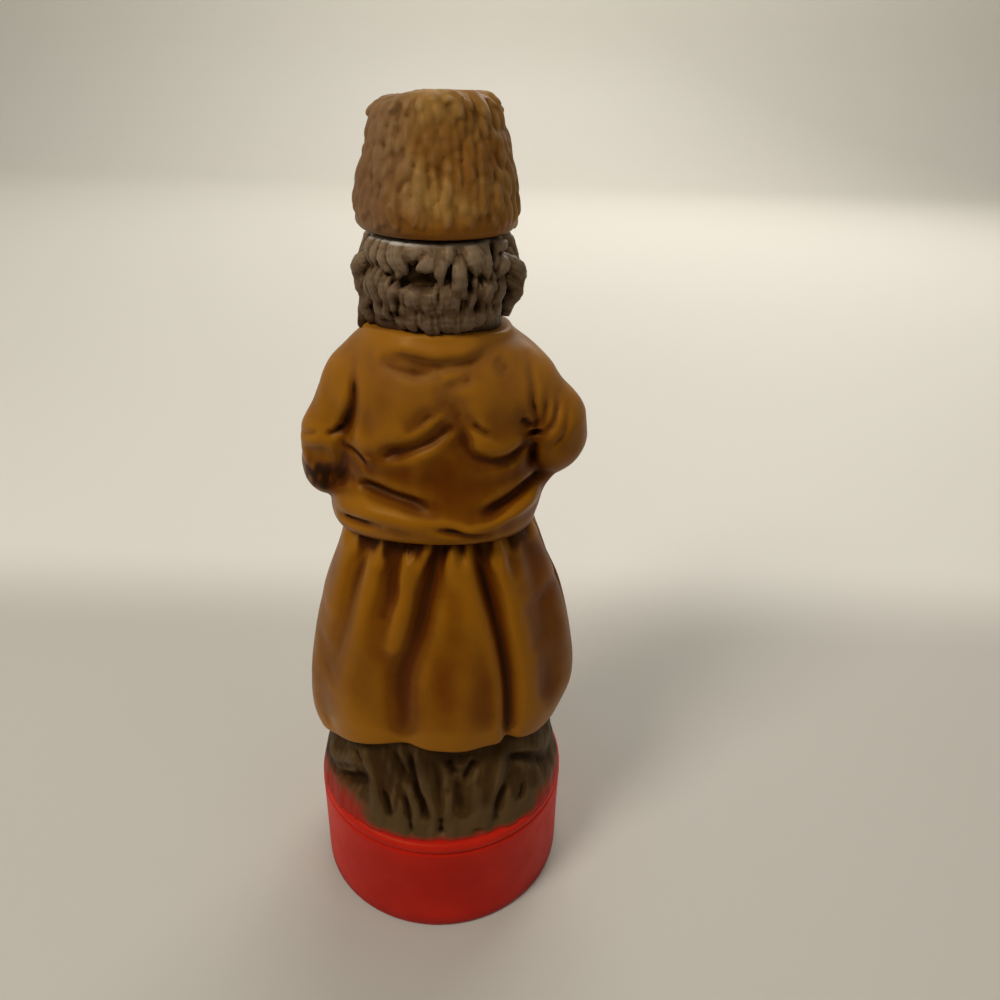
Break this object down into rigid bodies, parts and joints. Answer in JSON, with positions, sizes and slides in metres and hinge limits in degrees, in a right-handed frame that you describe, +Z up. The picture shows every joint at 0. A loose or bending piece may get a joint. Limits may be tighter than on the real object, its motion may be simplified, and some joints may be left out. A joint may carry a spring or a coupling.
{
  "type": "figural liquor decanter",
  "caption": "Hollow ceramic figure of a standing bearded peasant in a gathered coat on a round plinth, stoppered by its tall corked fleece hat.",
  "frame": {"origin": "centre of the plinth's underside, on the plane that the decanter stands on", "axes": "+Z up the figure, -Y the way its face looks, +X its left hand side"},
  "size_m": [0.1026, 0.099, 0.2923],
  "materials": {
    "plinth_paint": "satin red cold paint over bisque",
    "trousers_paint": "matte olive brown wash",
    "boot_paint": "satin dark brown paint",
    "coat_paint": "satin antiqued ochre brown paint",
    "skin_paint": "satin flesh paint with a brown wash",
    "hair_and_skin_paint": "matte grey brown wash on the hair, flesh paint on the face",
    "beard_paint": "matte grey brown wash",
    "hat_paint": "satin brown wash over carved fleece",
    "cork": "natural cork"
  },
  "bodies": {
    "decanter": {"plinth": "plinth_paint", "trousers": "trousers_paint", "left_boot": "boot_paint", "right_boot": "boot_paint", "skirt": "coat_paint", "blouse": "coat_paint", "left_sleeve": "coat_paint", "right_sleeve": "coat_paint", "left_hand": "skin_paint", "right_hand": "skin_paint", "head": "hair_and_skin_paint", "beard": "beard_paint"},
    "stopper": {"hat": "hat_paint", "cork": "cork"}
  },
  "joints": [
    {"name": "stopper_lift", "type": "slide", "parent": "decanter", "child": "stopper", "axis": [0, 0, 1], "range_m": [0, 0.026]}
  ]
}
